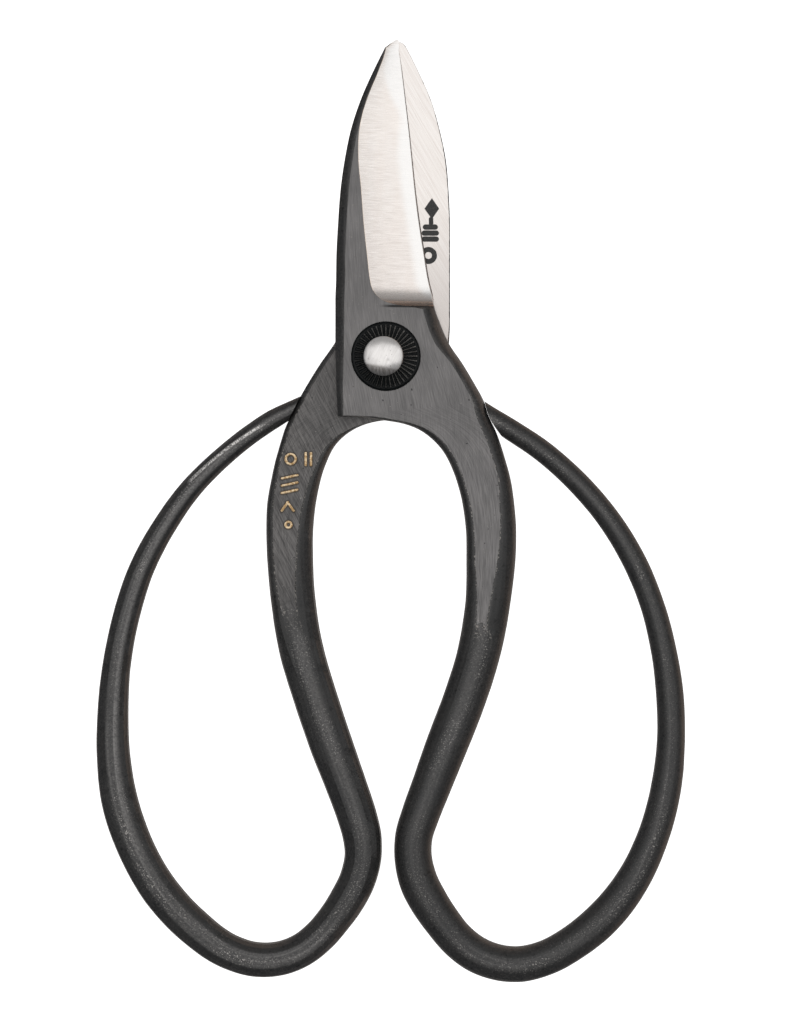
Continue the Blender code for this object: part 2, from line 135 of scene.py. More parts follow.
def flowing(keys, at):
    """Like table, one value, but smooth through the keys."""
    n = len(keys)
    for i in range(n - 1):
        if at <= keys[i + 1][0] or i == n - 2:
            break

    def slope(j):
        if j == 0 or j == n - 1:
            j = max(j, 1)
            return (keys[j][1] - keys[j - 1][1]) / (keys[j][0] - keys[j - 1][0])
        back_gap, next_gap = keys[j][0] - keys[j - 1][0], keys[j + 1][0] - keys[j][0]
        return (next_gap * (keys[j][1] - keys[j - 1][1]) / back_gap
                + back_gap * (keys[j + 1][1] - keys[j][1]) / next_gap) / (back_gap + next_gap)

    h = keys[i + 1][0] - keys[i][0]
    t = min(max((at - keys[i][0]) / h, 0), 1)
    t2, t3 = t * t, t * t * t
    return ((2 * t3 - 3 * t2 + 1) * keys[i][1] + (t3 - 2 * t2 + t) * h * slope(i)
            + (3 * t2 - 2 * t3) * keys[i + 1][1] + (t3 - t2) * h * slope(i + 1))


def step(x, low, high):
    t = min(max((x - low) / (high - low), 0), 1)
    return t * t * (3 - 2 * t)


def bow_course(before, bow, tail):
    """Smooth centre line and width of the bow: returns a function of the station that gives both side points."""
    centres = [before] + [c for c, _ in bow] + [((tail[0][0] + tail[1][0]) / 2, (tail[0][1] + tail[1][1]) / 2)]
    widths = [(28 + i, w) for i, (_, w) in enumerate(bow)]
    knots = [0.0]
    for p, q in zip(centres, centres[1:]):
        knots.append(knots[-1] + math.dist(p, q))

    def place(at):
        i = min(max(int(at - 27), 0), len(centres) - 2)
        return smooth(centres, (), i, at - 27 - i, knots)

    def sides(at, hand):
        (x0, y0), (x1, y1) = place(max(at - 0.12, 27.0)), place(min(at + 0.12, 57.9))
        x, y = place(at)
        length = math.hypot(x1 - x0, y1 - y0)
        half = flowing(widths, at) / 2 * hand
        ox, oy = -(y1 - y0) / length * half, (x1 - x0) / length * half
        return (x - ox, y - oy), (x + ox, y + oy)

    return sides


def smooth(points, sharp, i, t, knots):
    def slope(j, forward):
        lo, hi = max(j - 1, 0), min(j + 1, len(points) - 1)
        if j in sharp:
            lo, hi = (j, hi) if forward else (lo, j)
        if lo == j or hi == j:
            span = knots[hi] - knots[lo]
            return [(points[hi][k] - points[lo][k]) / span for k in (0, 1)]
        back_gap, next_gap = knots[j] - knots[lo], knots[hi] - knots[j]
        return [(next_gap * (points[j][k] - points[lo][k]) / back_gap
                 + back_gap * (points[hi][k] - points[j][k]) / next_gap) / (back_gap + next_gap) for k in (0, 1)]

    h = knots[i + 1] - knots[i]
    p0, p1 = points[i], points[i + 1]
    m0, m1 = slope(i, True), slope(i + 1, False)
    t2, t3 = t * t, t * t * t
    return tuple((2 * t3 - 3 * t2 + 1) * p0[k] + (t3 - 2 * t2 + t) * h * m0[k]
                 + (3 * t2 - 2 * t3) * p1[k] + (t3 - t2) * h * m1[k] for k in (0, 1))


def corner(side, face, apex, roundness, count, flip):
    """Points from side to face round one corner, in (across, height)."""
    points = []
    for n in range(count + 1):
        s = n / count
        w1, w2 = 1 - math.sin(s * math.pi / 2), 1 - math.cos(s * math.pi / 2)
        points.append(tuple(
            roundness * (apex[k] + (side[k] - apex[k]) * w1 + (face[k] - apex[k]) * w2)
            + (1 - roundness) * (side[k] + (face[k] - side[k]) * s) for k in (0, 1)))
    return points[::-1] if flip else points


RUNOUT_TOP, RUNOUT_END = 15.0, 9.35   # where the grinding wheel starts to lift, and where it leaves the steel


def section(at, a, b):
    """One closed section: a list of (across, height, group) plus the numbers the fields need."""
    width = math.hypot(b[0] - a[0], b[1] - a[1])
    (top,), (low,) = table(OUTER, at), table(INNER, at)
    bar = (BAR_ACROSS * width, BAR_DOWN * (top - low), BAR_ROUND)
    share = step(at, BAR_FROM - 1.2, BAR_FROM + 1.0)
    reach = []
    for keys in (SPINE_OUT, EDGE_OUT, SPINE_IN, EDGE_IN):
        own = table(keys, at)
        reach.append([p + (q - p) * share for p, q in zip(own, bar)])
    (sx, sz, sk), (ex, ez, ek), (ix, iz, ik), (jx, jz, jk) = reach
    bevel = flowing(BEVEL, min(at, 12))
    if at < 13:
        sz, ez = min(sz, (top - low) * 0.55), min(ez, (top - low) * 0.6)
    depth = top - low - LAND
    sag = 0.3 * min(bevel / 11, 1)

    def ground(u):
        """Height of the grinding surface across the blade."""
        if at > 13:
            return 99.0
        t = (width - u) / bevel
        y = a[1] + (b[1] - a[1]) * u / width
        s = min(max((RUNOUT_TOP - y) / (RUNOUT_TOP - RUNOUT_END), 0), 1)
        lift = 4.0 * (1 - (1 - s ** 2.9) ** (1 / 2.9)) + max(0.0, RUNOUT_END - y) * 20
        wheel = low + LAND + depth * t - sag * 4 * t * (1 - t)
        return wheel + lift

    # the column of points that follows the upper limit of the bevel
    left, right = sx + 0.12 * min(width, 3) / 3, width - ex - 0.1 * min(width, 3) / 3
    middle = (sx + width - ex) / 2
    y_mid = (a[1] + b[1]) / 2
    if at < 13 and y_mid > RUNOUT_END - 0.1:
        u = left
        lo, hi = left, right
        for _ in range(24):
            m = (lo + hi) / 2
            if ground(m) > top:
                lo = m
            else:
                hi = m
        u = (lo + hi) / 2
    else:
        u = right + (middle - right) * step(RUNOUT_END - y_mid, 0, 7)
    u = min(max(u, left), right)

    spine_side = [(0, low + iz + (top - sz - low - iz) * k / 3) for k in (1, 2)]
    pts = [(p, "in") for p in corner((0, low + iz), (ix, low), (0, low), ik, 4, True)]
    pts += [(p, "side") for p in spine_side]
    pts += [(p, "out") for p in corner((0, top - sz), (sx, top), (0, top), sk, 8, False)]
    pts += [((sx + (u - sx) * k / 11, top), "out") for k in range(1, 12)]
    pts += [((u + (width - ex - u) * k / 13, top), "out") for k in range(1, 13)]
    pts += [(p, "out") for p in corner((width, top - ez), (width - ex, top), (width, top), ek, 8, True)]
    edge_top = min(top - ez, ground(width), low + 0.06 if at < 11.9 else 99)
    foot = min(low + jz, edge_top - 0.03)
    pts += [((width, edge_top + (foot - edge_top) * k / 3), "edge") for k in (1, 2)]
    pts += [(p, "in") for p in corner((width, foot), (width - jx, low), (width, low), jk, 4, False)]
    pts += [((width - jx + (ix - width + jx) * k / 13, low), "in") for k in range(1, 13)]
    ring = []
    lip_width = 0.15 + 0.14 * step(at, 3.0, 9.0) * (1 - step(at, 11.2, 11.8))
    for (across, height), group in pts:
        lip = 0.0
        if at < 11.9 and (group == "edge" or (group == "out" and across > width - 1e-6)):
            lip = 1.0
        elif 3 <= at < 11.8 and group == "out" and across > width - 0.3:
            across = width - lip_width
        g = ground(across)
        if group == "out":
            cut = top - g
            height = min(height, g)
            if at < 11.9 and across > width - 1e-6:
                height = edge_top
        elif group == "edge":
            cut = top - g
        else:
            cut = -1.0
        outer_flat = min(across - sx, width - ex - across)
        inner_flat = min(across - ix, width - jx - across)
        ring.append((across, height, group, cut, outer_flat, inner_flat, lip))
    return width, ring


def make_arm(name, outline, bow, tail, hand, side):
    last = outline[-1]
    before = ((last[0][0] + last[1][0]) / 2, (last[0][1] + last[1][1]) / 2)
    course = bow_course(before, bow, tail)
    rows = outline + [course(28 + i, hand) for i in range(len(bow))] + [tail]
    a_side, b_side = [r[0] for r in rows], [r[1] for r in rows]
    knots = [0.0]
    for (a0, b0), (a1, b1) in zip(rows, rows[1:]):
        knots.append(knots[-1] + 0.5 * (math.dist(a0, a1) + math.dist(b0, b1)))
    seed = 3.7 if hand > 0 else 91.3
    verts, fields, loops = [], {k: [] for k in ("cut", "flat", "ura", "zone", "wear_and_sheen", "lip", "along", "across")}, 0
    for i in range(len(rows) - 1):
        pitch = 0.16 if i in (10, 11) else 0.45 if i < 12 else 0.7
        count = max(1, round((knots[i + 1] - knots[i]) / pitch))
        for n in range(count + (i == len(rows) - 2)):
            t = n / count
            at = i + t
            a = smooth(a_side, SHARP_SPINE, i, t, knots)
            b = smooth(b_side, SHARP_EDGE, i, t, knots)
            if 28 <= at < 57:
                a, b = course(at, hand)
            width, ring = section(at, a, b)
            ux, uy = (b[0] - a[0]) / width, (b[1] - a[1]) / width
            s = knots[i] + (knots[i + 1] - knots[i]) * t
            # strength of the ground finish on each face, along the arm
            out_zone = 1 - step(at, 28.1, 28.85)
            in_zone = step(at, 15.0, 16.0) * (1 - step(at, 27.6, 28.9))
            # how worn each stretch of the bars is; this also sets the strength of the painted crest highlight and
            # glints
            wear_and_sheen = 0.34 - 0.12 * step(at, 33, 35) + 0.45 * step(at, 38, 41) - 0.18 * step(at, 43, 45)
            if hand < 0:
                wear_and_sheen += 0.08 + 0.35 * step(at, 37, 39) + 0.05 * step(at, 44, 47)
            rough = step(at, 22, 26)
            for u, h, group, cut, outer_flat, inner_flat, lip in ring:
                x, y = a[0] + ux * u, a[1] + uy * u
                inner_side = group == "in" or (group == "side" and h < 1.5)
                flat = inner_flat if group == "in" else outer_flat
                zone = in_zone if inner_side else out_zone
                if at >= 28.85:
                    zone = 0.0
                on_bar = step(at, 28.3, 28.85)
                flat += (min(u - 0.27 * width, 0.73 * width - u) - flat) * on_bar
                if inner_side and at < 16:
                    zone = 1.0
                if at < 0.7 and not inner_side:
                    cut = max(cut, 0.3)
                # forging unevenness: none on the ground faces
                free = 1.0 - step(flat, -0.35, 0.05) * step(zone, 0.5, 0.9)
                swell = 0.0
                if at > 12.5:
                    p = Vector((x, y, h * side))
                    swell = (0.10 * noise.noise(p * 0.16 + Vector((seed, 0, 0)))
                             + 0.05 * noise.noise(p * 0.42 + Vector((0, seed, 0)))
                             + 0.018 * noise.noise(p * 1.3 + Vector((0, 0, seed)))) * free * rough
                    swell *= 1 - step(at, 56.3, 57.3)
                    if group == "out":
                        ledge = step(at, 28.1, 28.45) * (1 - step(at, 28.7, 29.1))
                        swell -= ledge * (0.07 + 0.16 * noise.noise(p * 0.55 + Vector((5, seed, 1))))
                cx, ch = u - width / 2, h - (table(OUTER, at)[0] + table(INNER, at)[0]) / 2
                r = math.hypot(cx, ch) or 1.0
                u2, h2 = u + cx / r * swell * 0.35, h + ch / r * swell
                x, y = a[0] + ux * u2, a[1] + uy * u2
                if at > 57 and hand > 0:
                    x += (table(TAIL_REST, -y)[0] - table(TAIL_CUT, -y)[0]) * (at - 57) ** 2
                verts.append((x * MM, y * MM, (MID + h2 * side) * MM))
                if group == "in":
                    ura = min(y - 1.2 - 0.012 * (x * hand + 4) ** 2 * 0.3, u - 0.02 - 0.13 * step(at, 3.5, 6.0))
                elif group == "edge":
                    ura = 0.5 if y > 2 and cut > 0 else -1.0
                else:
                    ura = -1.0
                fields["cut"].append(cut)
                fields["flat"].append(flat)
                fields["ura"].append(ura)
                fields["zone"].append(zone)
                fields["lip"].append(lip)
                fields["wear_and_sheen"].append(wear_and_sheen * step(at, 28.2, 28.9))
                fields["along"].append(s)
                fields["across"].append(u - width / 2)
            loops += 1
    size = len(verts) // loops
    faces = []
    for k in range(loops - 1):
        for j in range(size):
            p, q = k * size + j, k * size + (j + 1) % size
            faces.append((p, q, q + size, p + size))
    faces.append(tuple(range(size)))
    faces.append(tuple(range((loops - 1) * size, loops * size))[::-1])
    mesh = bpy.data.meshes.new(name)
    mesh.from_pydata(verts, [], faces)
    bm = bmesh.new()
    bm.from_mesh(mesh)
    bmesh.ops.recalc_face_normals(bm, faces=bm.faces)
    bm.to_mesh(mesh)
    bm.free()
    for key, values in fields.items():
        made = mesh.attributes.new(key, "FLOAT", "POINT")
        made.data.foreach_set("value", values)
    obj = bpy.data.objects.new(name, mesh)
    bpy.context.scene.collection.objects.link(obj)
    # the hole for the rivet
    drill_mesh = bpy.data.meshes.new("drill")
    bm = bmesh.new()
    bmesh.ops.create_cone(bm, cap_ends=True, segments=64, radius1=HOLE_R * MM, radius2=HOLE_R * MM, depth=0.04)
    bm.to_mesh(drill_mesh)
    bm.free()
    drill = bpy.data.objects.new("drill", drill_mesh)
    drill.location = (0, 0, MID * MM)
    bpy.context.scene.collection.objects.link(drill)
    cut = obj.modifiers.new("hole", "BOOLEAN")
    cut.operation, cut.solver, cut.object = "DIFFERENCE", "EXACT", drill
    bpy.context.view_layer.update()
    shaped = bpy.data.meshes.new_from_object(obj.evaluated_get(bpy.context.evaluated_depsgraph_get()))
    obj.modifiers.clear()
    obj.data = shaped
    shaped.name = name
    bpy.data.objects.remove(drill, do_unlink=True)
    for poly in shaped.polygons:
        poly.use_smooth = True
    shaped.set_sharp_from_angle(angle=math.radians(21))
    return obj


def lathe(name, profile, steps):
    """Turn a closed or axis-to-axis (radius, height) profile in mm about the pivot axis."""
    mesh = bpy.data.meshes.new(name)
    bm = bmesh.new()
    verts = [bm.verts.new((r * MM, 0, z * MM)) for r, z in profile]
    edges = [bm.edges.new((p, q)) for p, q in zip(verts, verts[1:])]
    bmesh.ops.spin(bm, geom=verts + edges, axis=(0, 0, 1), cent=(0, 0, 0), steps=steps, angle=2 * math.pi,
                   use_merge=True)
    bmesh.ops.remove_doubles(bm, verts=bm.verts, dist=0.000002)
    bmesh.ops.recalc_face_normals(bm, faces=bm.faces)
    bm.to_mesh(mesh)
    bm.free()
    obj = bpy.data.objects.new(name, mesh)
    bpy.context.scene.collection.objects.link(obj)
    return obj


def make_washer(name, side):
    """Dish washer with radial ribs between its hub and its plain rim."""
    ribs, per = 40, 10
    steps = ribs * per
    cone = lambda r: 5.50 - 0.284 * max(0.0, r - 3.3)
    rib_rings = [3.3, 3.38, 3.48, 3.65, 3.9, 4.2, 4.6, 4.9, 5.2, 5.5, 5.75, 5.92, 6.02, 6.1]
    profile = [(HOLE_R, 4.3), (HOLE_R, 5.45), (2.7, 5.5), (3.2, 5.5)]
    profile += [(r, cone(r)) for r in rib_rings]
    profile += [(6.25, cone(6.25)), (6.45, cone(6.45) - 0.03), (6.58, cone(6.58) - 0.09), (WASHER_R, cone(6.6) - 0.2),
                (WASHER_R, 4.42), (6.53, 4.3), (HOLE_R, 4.3)]
    obj = lathe(name, profile, steps)
    crest = [0.0] * len(obj.data.vertices)
    for k, vert in enumerate(obj.data.vertices):
        r, h = math.hypot(vert.co.x, vert.co.y) / MM, vert.co.z / MM
        if 3.31 < r < 6.09 and h > 4.6:
            turn = math.atan2(vert.co.y, vert.co.x) / (2 * math.pi) * ribs
            phase = turn % 1.0
            fade = step(r, 3.30, 3.50) * (1 - step(r, 5.85, 6.08))
            tooth = abs(phase - 0.5) * 2            # 0 in the valley, 1 on the ridge
            wobble = 1 + 0.25 * noise.noise(Vector((math.floor(turn) * 3.1, 0, 0)))
            vert.co.z += (tooth ** 2.2 * 0.34 - 0.24) * fade * wobble * MM
            crest[k] = step(tooth, 0.68, 0.98) * fade * (0.7 + 0.9 * abs(noise.noise(Vector((round(turn) % ribs * 7.7, 3, 1)))))
    for vert in obj.data.vertices:
        if side > 0:   # the front washer has settled a little to one side of the pin
            off = step(math.hypot(vert.co.x, vert.co.y) / MM, 2.65, 3.5)
            vert.co.x += 0.08 * off * MM
            vert.co.y -= 0.17 * off * MM
        vert.co.z = (MID + side * vert.co.z / MM) * MM
    obj.data.attributes.new("crest", "FLOAT", "POINT").data.foreach_set("value", crest)
    bm = bmesh.new()
    bm.from_mesh(obj.data)
    bmesh.ops.recalc_face_normals(bm, faces=bm.faces)
    bm.to_mesh(obj.data)
    bm.free()
    for poly in obj.data.polygons:
        poly.use_smooth = True
    obj.data.set_sharp_from_angle(angle=math.radians(30))
    return obj


def make_rivet(name):
    """Rivet with a peened dome in front, spread a little to one side, and a flattened rear head."""
    ball = (3.72 ** 2 + 0.98 ** 2) / (2 * 0.98)
    lean = math.asin(3.72 / ball)
    dome = [(ball * math.sin(lean * k / 22), 6.9 - ball * (1 - math.cos(lean * k / 22))) for k in range(22, -1, -1)]
    dome[-1] = (0.0, 6.9)
    profile = [(0, -MID), (2.25, -MID), (2.45, -6.49), (2.8, -6.42), (3.15, -6.3), (3.45, -6.12), (3.62, -5.95),
               (3.68, -5.8), (3.65, -5.66), (PIN_R, -5.65), (PIN_R, 5.65), (3.74, 5.65), (3.79, 5.72), (3.78, 5.86)]
    obj = lathe(name, profile + dome, 96)
    for vert in obj.data.vertices:
        x, y, z = vert.co / MM
        if z > 5.9:   # faint hammer facets and one small dent on the dome
            p = Vector((x, y, 0))
            z += 0.06 * noise.noise(p * 0.50 + Vector((7, 2, 0))) * step(math.hypot(x, y), 3.8, 2.8)
            z -= 0.05 * math.exp(-((x - 0.95) ** 2 + (y + 0.95) ** 2) / 0.12)
        if z > 5.6:
            off = step(math.hypot(x, y), PIN_R - 0.1, PIN_R + 0.6) if z < 5.8 else 1.0
            vert.co.x -= 0.40 * off * MM
            vert.co.y -= 0.18 * off * MM
        vert.co.z = (MID + z) * MM
    for poly in obj.data.polygons:
        poly.use_smooth = True
    obj.data.set_sharp_from_angle(angle=math.radians(40))
    return obj


# ------------------------------------------------------------------ materials
class Net:
    """Small helper for building a node material."""

    def __init__(self, name):
        self.mat = bpy.data.materials.new(name)
        self.mat.use_nodes = True
        self.tree = self.mat.node_tree
        self.shader = self.tree.nodes["Principled BSDF"]

    def node(self, kind, **inputs):
        made = self.tree.nodes.new(kind)
        for key, value in inputs.items():
            if hasattr(made, key):
                setattr(made, key, value)
        return made

    def put(self, socket, value):
        if isinstance(value, bpy.types.NodeSocket):
            self.tree.links.new(value, socket)
        elif isinstance(value, tuple) and socket.type == "RGBA":
            socket.default_value = (*value, 1.0)
        else:
            socket.default_value = value

    def attr(self, name):
        made = self.node("ShaderNodeAttribute")
        made.attribute_name = name
        return made.outputs["Fac"]

    def math(self, op, a, b=0.0, c=0.0, clamp=False):
        made = self.node("ShaderNodeMath")
        made.operation = op
        made.use_clamp = clamp
        for socket, value in zip(made.inputs, (a, b, c)):
            self.put(socket, value)
        return made.outputs[0]

    def vec(self, x, y, z):
        made = self.node("ShaderNodeCombineXYZ")
        for socket, value in zip(made.inputs, (x, y, z)):
            self.put(socket, value)
        return made.outputs[0]

    def xyz(self):
        coord = self.node("ShaderNodeTexCoord")
        scaled = self.node("ShaderNodeVectorMath")
        scaled.operation = "SCALE"
        self.put(scaled.inputs[0], coord.outputs["Object"])
        scaled.inputs["Scale"].default_value = 1000.0
        split = self.node("ShaderNodeSeparateXYZ")
        self.put(split.inputs[0], scaled.outputs[0])
        return scaled.outputs[0], split.outputs[0], split.outputs[1], split.outputs[2]

    def turned(self, vector, degrees):
        made = self.node("ShaderNodeVectorRotate")
        made.rotation_type = "Z_AXIS"
        self.put(made.inputs["Vector"], vector)
        made.inputs["Angle"].default_value = math.radians(degrees)
        return made.outputs[0]

    def stretched(self, vector, x, y, z):
        made = self.node("ShaderNodeVectorMath")
        made.operation = "MULTIPLY"
        self.put(made.inputs[0], vector)
        made.inputs[1].default_value = (x, y, z)
        return made.outputs[0]

    def noise(self, vector, scale, detail=2.0, rough=0.5, distort=0.0):
        made = self.node("ShaderNodeTexNoise")
        self.put(made.inputs["Vector"], vector)
        made.inputs["Scale"].default_value = scale
        made.inputs["Detail"].default_value = detail
        made.inputs["Roughness"].default_value = rough
        made.inputs["Distortion"].default_value = distort
        return made.outputs["Fac"]

    def cells(self, vector, scale, feature="F1"):
        made = self.node("ShaderNodeTexVoronoi")
        made.feature = feature
        self.put(made.inputs["Vector"], vector)
        made.inputs["Scale"].default_value = scale
        return made.outputs["Distance"]

    def ramp(self, value, low, high, out_low=0.0, out_high=1.0, smooth=True):
        made = self.node("ShaderNodeMapRange")
        made.interpolation_type = "SMOOTHSTEP" if smooth else "LINEAR"
        made.clamp = True
        for key, v in (("Value", value), ("From Min", low), ("From Max", high), ("To Min", out_low),
                       ("To Max", out_high)):
            self.put(made.inputs[key], v)
        return made.outputs["Result"]

    def mix(self, fac, a, b):
        made = self.node("ShaderNodeMix")
        made.data_type = "RGBA"
        self.put(made.inputs[0], fac)
        self.put(made.inputs[6], a)
        self.put(made.inputs[7], b)
        return made.outputs[2]

    def blendf(self, fac, a, b):
        made = self.node("ShaderNodeMix")
        made.data_type = "FLOAT"
        self.put(made.inputs[0], fac)
        self.put(made.inputs[2], a)
        self.put(made.inputs[3], b)
        return made.outputs[0]

    def bump(self, height_mm, strength=1.0):
        """Height in mm."""
        made = self.node("ShaderNodeBump")
        made.inputs["Strength"].default_value = strength
        made.inputs["Distance"].default_value = 0.001
        self.put(made.inputs["Height"], height_mm)
        self.tree.links.new(made.outputs["Normal"], self.shader.inputs["Normal"])

    def stroke(self, x, y, cx, cy, half, angle):
        """Distance in mm from a straight stroke of half-length half, centred at (cx, cy)."""
        c, s = math.cos(math.radians(angle)), math.sin(math.radians(angle))
        dx, dy = self.math("SUBTRACT", x, cx), self.math("SUBTRACT", y, cy)
        p = self.math("ADD", self.math("MULTIPLY", dx, c), self.math("MULTIPLY", dy, s))
        q = self.math("SUBTRACT", self.math("MULTIPLY", dy, c), self.math("MULTIPLY", dx, s))
        over = self.math("MAXIMUM", self.math("SUBTRACT", self.math("ABSOLUTE", p), half), 0.0)
        return self.math("SQRT", self.math("ADD", self.math("POWER", over, 2.0), self.math("MULTIPLY", q, q)))

    def ring_mark(self, x, y, cx, cy, radius):
        dx, dy = self.math("SUBTRACT", x, cx), self.math("SUBTRACT", y, cy)
        r = self.math("SQRT", self.math("ADD", self.math("MULTIPLY", dx, dx), self.math("MULTIPLY", dy, dy)))
        return self.math("ABSOLUTE", self.math("SUBTRACT", r, radius))

    def diamond(self, x, y, cx, cy, hx, hy):
        """Below zero inside a lozenge."""
        dx = self.math("DIVIDE", self.math("ABSOLUTE", self.math("SUBTRACT", x, cx)), hx)
        dy = self.math("DIVIDE", self.math("ABSOLUTE", self.math("SUBTRACT", y, cy)), hy)
        return self.math("MULTIPLY", self.math("SUBTRACT", self.math("ADD", dx, dy), 1.0), min(hx, hy) * 0.8)

    def least(self, *values):
        out = values[0]
        for v in values[1:]:
            out = self.math("MINIMUM", out, v)
        return out


def arm_material(name, front):
    n = Net(name)
    pos, x, y, z = n.xyz()
    along, across = n.attr("along"), n.attr("across")
    flow = n.vec(across, along, z)
    cut, flat, ura, zone, wear_and_sheen = (n.attr(key) for key in ("cut", "flat", "ura", "zone", "wear_and_sheen"))

    # ---- forged scale: near black, fine pits, bright specks on the crests that are partly worn bare metal and partly painted glints
    cloud = n.noise(pos, 0.22, 3, 0.55)
    grain = n.noise(pos, 2.2, 3, 0.6)
    fine = n.noise(pos, 7.0, 2, 0.6)
    pit = n.ramp(n.noise(pos, 1.4, 2, 0.5), 0.30, 0.38, 1.0, 0.0)
    middle = n.ramp(flat, -0.5, 1.3)
    worn_patch = n.ramp(n.noise(n.stretched(flow, 0.30, 0.06, 0.3), 1.0, 2, 0.6), 0.36, 0.62)
    # bright specks on the crest: worn bare metal, and partly painted glints
    worn_speck_and_glint = n.math("MULTIPLY", n.ramp(n.noise(pos, 3.6, 2, 0.6), 0.57, 0.67), n.math("MAXIMUM", worn_patch, 0.2))
    worn_speck_and_glint = n.math("MULTIPLY", worn_speck_and_glint, n.math("MAXIMUM", n.math("MULTIPLY", middle, n.math("ADD", wear_and_sheen, 0.35)), 0.08))
    forged = n.mix(n.ramp(cloud, 0.3, 0.7), (0.0150, 0.0152, 0.0160), (0.0240, 0.0232, 0.0228))
    forged = n.mix(n.math("MULTIPLY", n.ramp(grain, 0.35, 0.7), 0.6), forged, (0.042, 0.0405, 0.0395))
    forged = n.mix(n.math("MULTIPLY", n.ramp(fine, 0.42, 0.68), 0.4), forged, (0.046, 0.044, 0.043))
    forged = n.mix(n.math("MULTIPLY", pit, 0.7), forged, (0.003, 0.003, 0.0033))
    forged = n.mix(n.math("MULTIPLY", worn_speck_and_glint, 0.9, clamp=True), forged, (0.62, 0.585, 0.55))

    # ---- ground and blackened flats: brush lines that follow the arm
    lines = n.noise(n.stretched(flow, 5.5, 0.16, 1.0), 1.0, 3, 0.6)
    lines2 = n.noise(n.stretched(flow, 14.0, 0.5, 1.0), 1.0, 2, 0.6)
    if front:
        cross = n.noise(n.stretched(n.turned(pos, -4), 6.0, 0.35, 1.0), 1.0, 2, 0.6)
    else:
        cross = n.noise(n.stretched(n.turned(pos, -27), 4.2, 0.22, 1.0), 1.0, 3, 0.65)
    brush = n.math("ADD", n.math("MULTIPLY", lines, 0.45 if front else 0.2),
                   n.math("ADD", n.math("MULTIPLY", lines2, 0.25), n.math("MULTIPLY", cross, 0.3 if front else 0.55)))
    patch = n.noise(pos, 0.12, 2, 0.5)
    tone = n.blendf(n.ramp(along, 64.0, 84.0), n.ramp(brush, 0.26, 0.74), n.ramp(brush, 0.36, 0.64))
    dark_ground = (0.150, 0.145, 0.1435) if front else (0.075, 0.072, 0.071)
    pale_ground = (0.245, 0.235, 0.232) if front else (0.195, 0.186, 0.181)
    ground = n.mix(tone, dark_ground, pale_ground)
    ground = n.mix(n.math("MULTIPLY", n.ramp(patch, 0.35, 0.7), 0.25), ground, (0.075, 0.074, 0.075))
    dust = n.math("MULTIPLY", n.ramp(n.noise(pos, 2.8, 1, 0.4), 0.73, 0.78), 0.6)
    ground = n.mix(dust, ground, (0.34, 0.32, 0.30))
    nick = n.ramp(n.noise(pos, 1.1, 2, 0.4), 0.22, 0.26, 1.0, 0.0)
    ground = n.mix(n.math("MULTIPLY", nick, 0.8), ground, (0.02, 0.02, 0.022))

    ragged = n.math("MULTIPLY", n.math("SUBTRACT", n.noise(pos, 1.6, 3, 0.6), 0.5), 0.55)
    ragged = n.math("MULTIPLY", ragged, n.ramp(along, 62.0, 95.0, 0.12, 1.0))
    on_flat = n.ramp(n.math("ADD", flat, ragged), -0.06, 0.10)
    soft_flat = n.ramp(n.math("ADD", flat, n.math("MULTIPLY", ragged, 0.5)), -0.9, 0.9)
    # the ground face ends in rough patches, and more softly on the back arm
    frayed = n.math("SUBTRACT", n.noise(pos, 0.75, 3, 0.7), 0.5)
    if front:
        patchy = n.math("ADD", zone, n.math("MULTIPLY", frayed, 1.3))
        m_ground = n.math("MULTIPLY", on_flat, n.ramp(patchy, 0.42, 0.58))
    else:
        frayed = n.math("MULTIPLY", frayed, n.ramp(zone, 0.8, 1.0, 1.2, 0.0))
        m_ground = n.math("MULTIPLY", on_flat, n.ramp(n.math("ADD", zone, frayed), 0.22, 0.90))
    crease = n.noise(n.stretched(flow, 1.1, 0.012, 0.5), 1.0, 2, 0.5)
    # a brighter metallic band along the crest of the bars: worn bare metal, and partly a painted highlight
    worn_crest_and_highlight = n.math("MULTIPLY", n.math("MULTIPLY", n.ramp(n.math("ADD", flat, n.math("MULTIPLY", wear_and_sheen, 0.5)), 0.3, 1.6), wear_and_sheen),
                   n.math("MULTIPLY", n.ramp(crease, 0.32, 0.60, 0.3, 1.0), n.ramp(grain, 0.30, 0.62, 0.45, 1.0)),
                   clamp=True)
    m_worn = n.math("MULTIPLY", soft_flat, n.math("MULTIPLY", zone, n.ramp(crease, 0.35, 0.62, 0.35, 1.0), clamp=True))
    # bare specks where a flat meets the forged side
    rim = n.math("MULTIPLY", n.ramp(n.math("ABSOLUTE", n.math("ADD", flat, ragged)), 0.0, 0.16, 1.0, 0.0),
                 n.ramp(n.noise(pos, 2.3, 2, 0.6), 0.52, 0.64))
    rim = n.math("MULTIPLY", rim, n.ramp(zone, 0.1, 0.6))
    rim = n.math("MULTIPLY", rim, n.ramp(along, 66.0, 80.0))
    # and a scaly patch of them where the ground flat of the shank dies out
    scaly = n.math("MULTIPLY", n.math("MULTIPLY", n.ramp(zone, 0.0, 0.25), n.ramp(zone, 0.45, 0.9, 1.0, 0.0)),
                   n.math("MULTIPLY", n.ramp(along, 70.0, 80.0), n.ramp(flat, -0.4, 0.1)))
    bare = (0.53, 0.64, 0.0, 0.8) if front else (0.57, 0.70, 0.0, 0.5)
    rim = n.math("MAXIMUM", rim, n.math("MULTIPLY", scaly, n.ramp(n.noise(pos, 2.4, 3, 0.6), *bare)))

